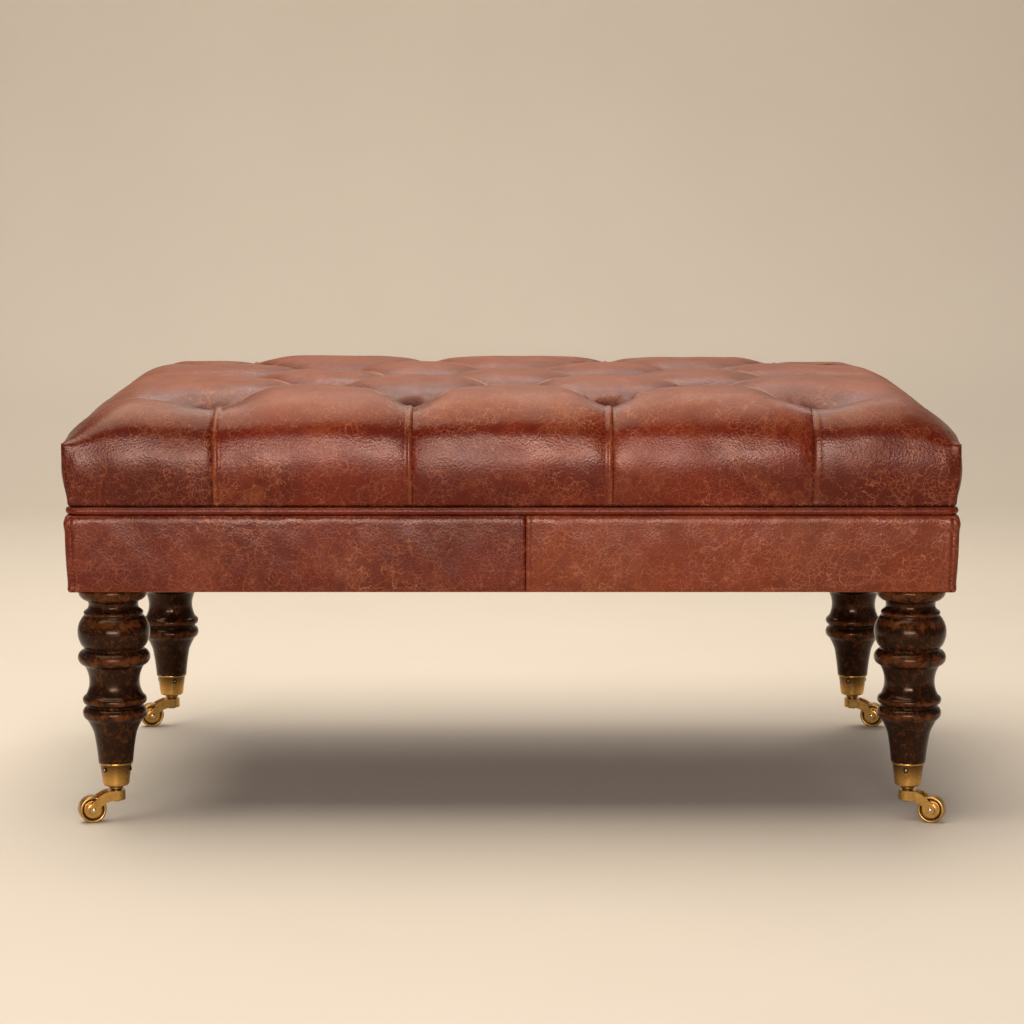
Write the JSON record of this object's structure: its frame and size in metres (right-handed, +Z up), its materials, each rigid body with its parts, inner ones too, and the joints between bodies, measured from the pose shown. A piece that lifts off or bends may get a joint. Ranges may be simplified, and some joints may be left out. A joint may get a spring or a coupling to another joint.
{
  "type": "leather ottoman",
  "caption": "Long deep-buttoned leather footstool with a piped leather apron, turned dark wooden legs and brass cup castors that swivel and roll.",
  "frame": {"origin": "on the floor under the centre of the ottoman", "axes": "+X along its length, -Y out of its front, +Z up"},
  "size_m": [0.914, 0.61, 0.4571],
  "materials": {
    "cushion_leather": "satin pull-up leather, crackled and worn",
    "apron_leather": "satin pull-up leather, crackled and worn",
    "piping_leather": "satin pull-up leather",
    "button_leather": "satin pull-up leather",
    "foam": "open-cell foam",
    "wadding": "polyester wadding",
    "twine": "waxed twine",
    "plywood": "birch plywood",
    "turned_beech": "plain beech",
    "frame_wood": "sawn beech",
    "leg_wood": "very dark polish, worn through on the beads",
    "black_cloth": "woven bottoming cloth",
    "steel": "zinc plated",
    "screw_bronze": "darkened",
    "cup_brass": "antiqued satin",
    "horn_brass": "antiqued satin",
    "wheel_brass": "antiqued satin",
    "axle_steel": "polished rivet heads",
    "washer_brass": "darkened",
    "pintle_steel": "darkened"
  },
  "bodies": {
    "root": {"apron_back_left": "apron_leather", "apron_back_right": "apron_leather", "apron_front_left": "apron_leather", "apron_front_right": "apron_leather", "apron_left_end": "apron_leather", "apron_right_end": "apron_leather", "back_left_corner_block": "frame_wood", "back_rail": "frame_wood", "back_right_corner_block": "frame_wood", "base_board": "plywood", "board_screws": "steel", "button_twine": "twine", "castor_cups": "cup_brass", "castor_pintles": "pintle_steel", "castor_washers": "washer_brass", "corner_screws": "steel", "cover_buttons": "button_leather", "cup_screws": "screw_bronze", "dust_cover": "black_cloth", "dust_cover_staples": "steel", "foam_pad": "foam", "front_left_corner_block": "frame_wood", "front_rail": "frame_wood", "front_right_corner_block": "frame_wood", "left_cross_rail": "frame_wood", "left_end_rail": "frame_wood", "leg_bolts": "steel", "leg_nuts": "steel", "rail_dowels": "turned_beech", "right_cross_rail": "frame_wood", "right_end_rail": "frame_wood", "tufted_cover": "cushion_leather", "turned_legs": "leg_wood", "twine_toggles": "turned_beech", "wadding": "wadding", "welt_piping": "piping_leather"},
    "castor_front_left": {"front_left_castor_horn": "horn_brass", "front_left_castor_axle": "axle_steel"},
    "wheel_front_left": {"front_left_castor_wheel": "wheel_brass"},
    "castor_front_right": {"front_right_castor_horn": "horn_brass", "front_right_castor_axle": "axle_steel"},
    "wheel_front_right": {"front_right_castor_wheel": "wheel_brass"},
    "castor_back_left": {"back_left_castor_horn": "horn_brass", "back_left_castor_axle": "axle_steel"},
    "wheel_back_left": {"back_left_castor_wheel": "wheel_brass"},
    "castor_back_right": {"back_right_castor_horn": "horn_brass", "back_right_castor_axle": "axle_steel"},
    "wheel_back_right": {"back_right_castor_wheel": "wheel_brass"}
  },
  "joints": [
    {"name": "swivel_front_left", "type": "hinge", "parent": "root", "child": "castor_front_left", "pos_m": [-0.4105, -0.2585, 0.0275], "axis": [0, 0, 1], "continuous": true},
    {"name": "roll_front_left", "type": "hinge", "parent": "castor_front_left", "child": "wheel_front_left", "pos_m": [-0.43446, -0.26722, 0.014], "axis": [-0.342, 0.9397, 0], "continuous": true},
    {"name": "swivel_front_right", "type": "hinge", "parent": "root", "child": "castor_front_right", "pos_m": [0.4105, -0.2585, 0.0275], "axis": [0, 0, 1], "continuous": true},
    {"name": "roll_front_right", "type": "hinge", "parent": "castor_front_right", "child": "wheel_front_right", "pos_m": [0.43446, -0.26722, 0.014], "axis": [-0.342, -0.9397, 0], "continuous": true},
    {"name": "swivel_back_left", "type": "hinge", "parent": "root", "child": "castor_back_left", "pos_m": [-0.4105, 0.2585, 0.0275], "axis": [0, 0, 1], "continuous": true},
    {"name": "roll_back_left", "type": "hinge", "parent": "castor_back_left", "child": "wheel_back_left", "pos_m": [-0.43446, 0.24978, 0.014], "axis": [-0.342, 0.9397, 0], "continuous": true},
    {"name": "swivel_back_right", "type": "hinge", "parent": "root", "child": "castor_back_right", "pos_m": [0.4105, 0.2585, 0.0275], "axis": [0, 0, 1], "continuous": true},
    {"name": "roll_back_right", "type": "hinge", "parent": "castor_back_right", "child": "wheel_back_right", "pos_m": [0.43446, 0.24978, 0.014], "axis": [-0.342, -0.9397, 0], "continuous": true}
  ]
}
